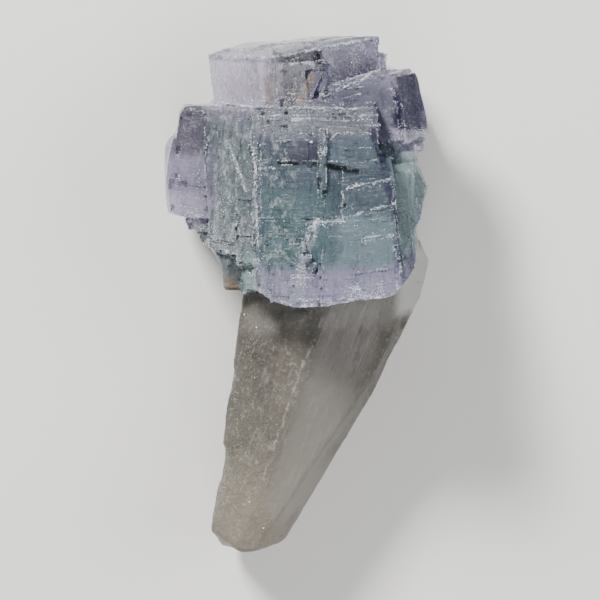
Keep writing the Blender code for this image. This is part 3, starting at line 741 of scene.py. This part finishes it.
def settle_inside(mesh, corners):
    """Eases what comes near the box's sides back from them, so that thin layers on it have room."""
    for vertex in mesh.vertices:
        for i in range(3):
            low, high = corners[0][i] + SIDE_KNEE * MM, corners[1][i] - SIDE_KNEE * MM
            over = max(vertex.co[i] - high, low - vertex.co[i])
            if over > 0:
                room = SIDE_ROOM * MM
                eased = room * (1 - math.exp(-over / room))
                vertex.co[i] = high + eased if vertex.co[i] > high else low - eased


def shade(mesh, sharp_angle):
    """Smooth faces with sharp edges where they bend more than these degrees, in place of older normals."""
    if "custom_normal" in mesh.attributes:
        mesh.attributes.remove(mesh.attributes["custom_normal"])
    mesh.polygons.foreach_set("use_smooth", [True] * len(mesh.polygons))
    mesh.set_sharp_from_angle(angle=math.radians(sharp_angle))
    mesh.update()


def merged_copy(made):
    """An object's form, with its coinciding vertices joined."""
    bm = bmesh.new()
    bm.from_mesh(made.data)
    bmesh.ops.remove_doubles(bm, verts=bm.verts[:], dist=MERGE)
    return bm


def placed(name, mesh):
    """A new object in the scene with this mesh."""
    made = bpy.data.objects.new(name, mesh)
    bpy.context.scene.collection.objects.link(made)
    return made


def object_from(bm, name):
    """A new object in the scene with this form."""
    mesh = bpy.data.meshes.new(name)
    bm.to_mesh(mesh)
    bm.free()
    return placed(name, mesh)


def piece_from(node, name, material):
    """A piece of its own with a copy of the node's form."""
    piece = object_from(merged_copy(node), name)
    piece.data.materials.append(material)
    return piece


def make_plain(piece):
    """Gives the piece the plain mesh that its modifiers make, and takes them off."""
    graph = bpy.context.evaluated_depsgraph_get()
    mesh = bpy.data.meshes.new_from_object(piece.evaluated_get(graph))
    piece.modifiers.clear()
    piece.data = mesh


def outline_block():
    """The space that the cluster's outline encloses, as wide as it shows at each depth."""
    bm = bmesh.new()
    rings = []
    for reach in OUTLINE_REACH:
        share = (CAMERA_DISTANCE - reach) / CAMERA_DISTANCE
        points = [EYE + ray_to(x, up) * share for x, up in OUTLINE]
        rings.append([bm.verts.new(point * MM) for point in points])
    near, far = rings
    bm.faces.new(near)
    bm.faces.new(reversed(far))
    for i in range(len(near)):
        j = (i + 1) % len(near)
        bm.faces.new((near[i], far[i], far[j], near[j]))
    bmesh.ops.recalc_face_normals(bm, faces=bm.faces[:])
    return object_from(bm, "outline")


def ingrown_block(centre, size, roll, yaw):
    """A small crystal between the others, rolled about the upright and turned about its length."""
    bm = bmesh.new()
    bmesh.ops.create_cube(bm, size=MM)
    turn = Matrix.Rotation(math.radians(roll), 4, "Z") @ Matrix.Rotation(math.radians(yaw), 4, "Y")
    place = Matrix.Translation(Vector(centre) * MM) @ turn @ Matrix.Diagonal((*size, 1.0))
    bmesh.ops.transform(bm, matrix=place, verts=bm.verts[:])
    return object_from(bm, "ingrown")


def combine(piece, other, operation):
    """Joins or cuts the piece with another closed form, which goes."""
    modifier = piece.modifiers.new("combine", "BOOLEAN")
    modifier.operation = operation
    modifier.solver = "EXACT"
    modifier.object = other
    make_plain(piece)
    bpy.data.objects.remove(other, do_unlink=True)


def layer_values(mesh, seen):
    """How thick thin layers lie at each vertex: thinly on calm faces, and not at all along the outline."""
    layers = np.ones(len(seen))
    for left, right, low, high in CALM_FACES:
        across = (seen[:, 0] > left) & (seen[:, 0] < right)
        layers[across & (seen[:, 1] > low) & (seen[:, 1] < high)] = CALM_LAYERS
    sides = zip(OUTLINE, OUTLINE[1:] + OUTLINE[:1])
    rim = np.min([distances(seen, *side) for side in sides], axis=0) < RIM_WIDTH
    raised = np.array([vertex.co.z for vertex in mesh.vertices]) > RIM_DEPTH * MM
    layers[rim & raised] = 0.0
    return layers


def make_fluorite(node, material, corners):
    """The cluster with faces that wave a little, and with its values for small crystals and thin layers."""
    piece = piece_from(node, "fluorite_growth", material)
    for row in INGROWN.values():
        combine(piece, ingrown_block(*row), "UNION")
    combine(piece, outline_block(), "INTERSECT")
    bm = merged_copy(piece)
    bmesh.ops.dissolve_limit(bm, angle_limit=FLAT_ANGLE, verts=bm.verts[:], edges=bm.edges[:])
    split_long_edges(bm, FLUORITE_SIDE * MM)
    bm.to_mesh(piece.data)
    bm.free()
    mesh = piece.data
    seen = from_front(mesh)
    store(mesh, "sugar", thickness(seen, SUGAR_LINES))
    store(mesh, "layers", layer_values(mesh, seen))
    for vertex in mesh.vertices:
        vertex.co += waves(vertex.co, FLUORITE_WAVES)
    settle_inside(mesh, corners)
    shade(mesh, FLUORITE_SHARP)
    return piece


class Tree:
    """A Geometry Nodes tree with named inputs."""

    def __init__(self, name, inputs):
        self.group = bpy.data.node_groups.new(name, "GeometryNodeTree")
        self.names = {}
        for label, kind in {"Geometry": "NodeSocketGeometry", **inputs}.items():
            made = self.group.interface.new_socket(label, in_out="INPUT", socket_type=kind)
            self.names[label] = made.identifier
        self.group.interface.new_socket("Geometry", in_out="OUTPUT", socket_type="NodeSocketGeometry")
        self.start = self.group.nodes.new("NodeGroupInput").outputs
        self.end = self.group.nodes.new("NodeGroupOutput")

    def node(self, kind, settings=None, sockets=None):
        made = self.group.nodes.new(kind)
        for name, setting in (settings or {}).items():
            setattr(made, name, setting)
        for name, value in (sockets or {}).items():
            if isinstance(value, bpy.types.NodeSocket):
                self.group.links.new(value, made.inputs[name])
            else:
                made.inputs[name].default_value = value
        return made.outputs

    def random(self, low, high, seed):
        """A random vector for each point."""
        sockets = {0: low, 1: high, "Seed": seed}
        return self.node("FunctionNodeRandomValue", {"data_type": "FLOAT_VECTOR"}, sockets)[0]

    def product(self, value, factor):
        return self.node("ShaderNodeMath", {"operation": "MULTIPLY"}, {0: value, 1: factor})[0]

    def around(self, most, seed):
        """A random vector for each point, up to the most either way."""
        return self.random(self.product(most, -1.0), most, seed)

    def spread(self, name):
        """Points over the surface, as thick as the density times the surface's own value of this name."""
        settings = {"data_type": "FLOAT"}
        value = self.node("GeometryNodeInputNamedAttribute", settings, {"Name": name})["Attribute"]
        density = self.product(value, self.start["Density"])
        sockets = {"Mesh": self.start["Geometry"], "Density": density, "Seed": self.start["Seed"]}
        return self.node("GeometryNodeDistributePointsOnFaces", None, sockets)

    def finish(self, points, spin):
        """Puts a small cube on each point, as plain geometry with its material."""
        size = self.random(self.start["Smallest"], self.start["Largest"], 2)
        cube = self.node("GeometryNodeMeshCube", None, {"Size": (1.0, 1.0, 1.0)})["Mesh"]
        sockets = {"Points": points, "Instance": cube, "Rotation": spin, "Scale": size}
        cubes = self.node("GeometryNodeInstanceOnPoints", None, sockets)["Instances"]
        plain = self.node("GeometryNodeRealizeInstances", None, {"Geometry": cubes})["Geometry"]
        sockets = {"Geometry": plain, "Material": self.start["Material"]}
        dressed = self.node("GeometryNodeSetMaterial", None, sockets)["Geometry"]
        self.group.links.new(dressed, self.end.inputs["Geometry"])
        return self

    def apply(self, piece, **inputs):
        """Gives the piece the tree's plain mesh."""
        modifier = piece.modifiers.new(self.group.name, "NODES")
        modifier.node_group = self.group
        for label, value in inputs.items():
            modifier[self.names[label]] = value
        make_plain(piece)
        return piece


CUBE_INPUTS = {
    "Smallest": "NodeSocketVector",
    "Largest": "NodeSocketVector",
    "Lean": "NodeSocketFloat",
    "Seed": "NodeSocketInt",
    "Material": "NodeSocketMaterial",
}


def strewn_tree():
    """Small crystals over a surface, as thick as its sugar value says."""
    tree = Tree("strewn", {"Density": "NodeSocketFloat", **CUBE_INPUTS})
    points = tree.spread("sugar")["Points"]
    return tree.finish(points, tree.around(tree.start["Lean"], 1))


def plate_tree():
    """Thin growth layers lying flat on every face, with their sides along the crystal's own."""
    tree = Tree("plates", {"Density": "NodeSocketFloat", **CUBE_INPUTS})
    spread = tree.spread("layers")
    sockets = {"Vector": spread["Normal"]}
    flat = tree.node("FunctionNodeAlignRotationToVector", {"axis": "Z"}, sockets)[0]
    settings = {"axis": "Y", "pivot_axis": "Z"}
    sockets = {"Rotation": flat, "Vector": (0.0, 1.0, 0.0)}
    along = tree.node("FunctionNodeAlignRotationToVector", settings, sockets)[0]
    return tree.finish(spread["Points"], along)


def edge_tree():
    """Small crystals along lines, a step apart."""
    tree = Tree("edged", {"Step": "NodeSocketFloat", "Spread": "NodeSocketFloat", **CUBE_INPUTS})
    curve = tree.node("GeometryNodeMeshToCurve", None, {"Mesh": tree.start["Geometry"]})["Curve"]
    sockets = {"Curve": curve, "Length": tree.start["Step"]}
    spaced = tree.node("GeometryNodeCurveToPoints", {"mode": "LENGTH"}, sockets)
    offset = tree.around(tree.start["Spread"], tree.start["Seed"])
    sockets = {"Geometry": spaced["Points"], "Offset": offset}
    moved = tree.node("GeometryNodeSetPosition", None, sockets)["Geometry"]
    lean = tree.node("FunctionNodeEulerToRotation", None, {0: tree.around(tree.start["Lean"], 1)})[0]
    sockets = {0: spaced["Rotation"], "Rotate By": lean}
    turned = tree.node("FunctionNodeRotateRotation", {"rotation_space": "LOCAL"}, sockets)[0]
    return tree.finish(moved, turned)


def sharp_edges(piece, name):
    """The piece's sharp edges, in patches, as bare lines."""
    bm = bmesh.new()
    bm.from_mesh(piece.data)
    lines = bmesh.new()
    for edge in bm.edges:
        if len(edge.link_faces) == 2 and edge.calc_face_angle() > math.radians(RIM_ANGLE):
            ends = [vertex.co for vertex in edge.verts]
            middle = (ends[0] + ends[1]) / 2
            if noise.noise(middle / (RIM_PATCH * MM)) > RIM_LEAST:
                lines.edges.new([lines.verts.new(end) for end in ends])
    bmesh.ops.remove_doubles(lines, verts=lines.verts[:], dist=MERGE)
    bm.free()
    return object_from(lines, name)


def drawn_on(piece, name, lines):
    """Lines drawn over the piece as seen from the front, with a tremble, as bare lines on its surface."""
    corners = [vertex.co for vertex in piece.data.vertices]
    tree = BVHTree.FromPolygons(corners, [face.vertices[:] for face in piece.data.polygons])
    drawn = bmesh.new()
    for start, end in lines:
        start, end = Vector(start), Vector(end)
        count = max(2, round((end - start).length / DRAWN_STEP))
        last = None
        for i in range(count + 1):
            at = start.lerp(end, i / count)
            tremble = noise.noise_vector(Vector((*at, 3.0)) * DRAWN_FINENESS).xy
            at = at + tremble * DRAWN_TREMBLE
            place = tree.ray_cast(EYE * MM, ray_to(at.x, at.y).normalized())[0]
            kept = place is not None and noise.noise(place / (DRAWN_PATCH * MM)) > DRAWN_LEAST
            new = drawn.verts.new(place) if kept else None
            if new and last and (new.co - last.co).length < DRAWN_GAP * DRAWN_STEP * MM:
                drawn.edges.new((last, new))
            last = new
    return object_from(drawn, name)


def twin(piece, name):
    """An object of its own with a copy of the piece's mesh."""
    return placed(name, piece.data.copy())


def sizes(*lengths):
    """Lengths in millimetres as metres."""
    return [length * MM for length in lengths]


def make_sugar(fluorite, material, corners):
    """Tiny crystals strewn over the cluster, along its broken rims and along its bright ledges."""
    strewn = strewn_tree().apply(
        twin(fluorite, "fluorite_sugar"), Density=16.0e6, Lean=0.4, Seed=3, Material=material,
        Smallest=sizes(0.03, 0.03, 0.03), Largest=sizes(0.15, 0.10, 0.10)
    )
    rims = edge_tree().apply(
        sharp_edges(fluorite, "fluorite_rims"), Step=0.10 * MM, Spread=0.07 * MM, Lean=0.8, Seed=5,
        Smallest=sizes(0.015, 0.015, 0.02), Largest=sizes(0.08, 0.06, 0.16), Material=material
    )
    ledges = edge_tree().apply(
        drawn_on(fluorite, "fluorite_ledges", LEDGE_LINES), Step=0.05 * MM, Spread=0.11 * MM, Lean=0.7,
        Seed=6, Smallest=sizes(0.02, 0.02, 0.03), Largest=sizes(0.14, 0.10, 0.26), Material=material
    )
    for piece in (strewn, rims, ledges):
        keep_inside(piece.data, corners)
    return strewn, rims, ledges


def make_plates(fluorite, material, corners):
    """Thin growth layers over the cluster's faces."""
    plates = plate_tree().apply(
        twin(fluorite, "fluorite_plates"), Density=1.0e6, Lean=0.0, Seed=11, Material=material,
        Smallest=sizes(0.10, 0.08, 0.03), Largest=sizes(0.8, 0.7, 0.12)
    )
    keep_inside(plates.data, corners)
    return plates


def make_quartz(node, material, corners):
    """The quartz with its chips and ledges worn soft, and with fine growth lines along it."""
    piece = piece_from(node, "quartz_stem", material)
    remesh = piece.modifiers.new("even", "REMESH")
    remesh.mode = "VOXEL"
    remesh.voxel_size = QUARTZ_SIDE * MM
    smooth = piece.modifiers.new("worn", "SMOOTH")
    smooth.factor = 0.5
    smooth.iterations = QUARTZ_WEAR
    make_plain(piece)
    mesh = piece.data
    for vertex in mesh.vertices:
        vertex.co += waves(vertex.co, QUARTZ_WAVES)
    keep_inside(mesh, corners)
    shade(mesh, QUARTZ_SHARP)
    patches = [noise.noise(vertex.co / (FROST_PATCH * MM)) > 0.0 for vertex in mesh.vertices]
    share = np.where(patches, 1.0, FROST_BETWEEN)
    store(mesh, "sugar", thickness(from_front(mesh), QUARTZ_FROST) * share)
    return piece


def make_quartz_chips(quartz, material, corners):
    """Small bright chips where the quartz is rough or broken."""
    chips = strewn_tree().apply(
        twin(quartz, "quartz_chips"), Density=7.0e6, Lean=0.5, Seed=9, Material=material,
        Smallest=sizes(0.02, 0.03, 0.02), Largest=sizes(0.09, 0.20, 0.08)
    )
    keep_inside(chips.data, corners)
    return chips


def main():
    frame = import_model()
    noise.seed_set(NOISE_SEED)
    make_camera()
    make_lights()
    make_floor()
    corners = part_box("fluorite_cubes")
    growth = fluorite_material("fluorite")
    growth.absorb(linear(176, 200, 208), 80.0)
    layers = fluorite_material("fluorite_layers")
    fluorite = make_fluorite(frame["nodes"]["fluorite_cubes"], growth.material, corners)
    darker, paler = linear(168, 176, 186), linear(238, 238, 244)
    crumbs = crumb_material("fluorite_sugar", darker, paler, FLUORITE_IOR)
    sugar = [*make_sugar(fluorite, crumbs, corners), make_plates(fluorite, layers.material, corners)]
    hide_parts("fluorite_cubes")
    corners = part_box("quartz_crystal")
    quartz = make_quartz(frame["nodes"]["quartz_crystal"], quartz_material(), corners)
    darker, paler = linear(120, 115, 103), linear(176, 171, 158)
    frosting = crumb_material("quartz_frost", darker, paler, QUARTZ_IOR)
    chips = make_quartz_chips(quartz, frosting, corners)
    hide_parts("quartz_crystal")
    for piece in (fluorite, *sugar):
        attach(piece, "root")
    for piece in (quartz, chips):
        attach(piece, "root")
    for piece in (fluorite, *sugar, quartz, chips):
        print(piece.name, sum(len(face.vertices) - 2 for face in piece.data.polygons), "triangles")


main()
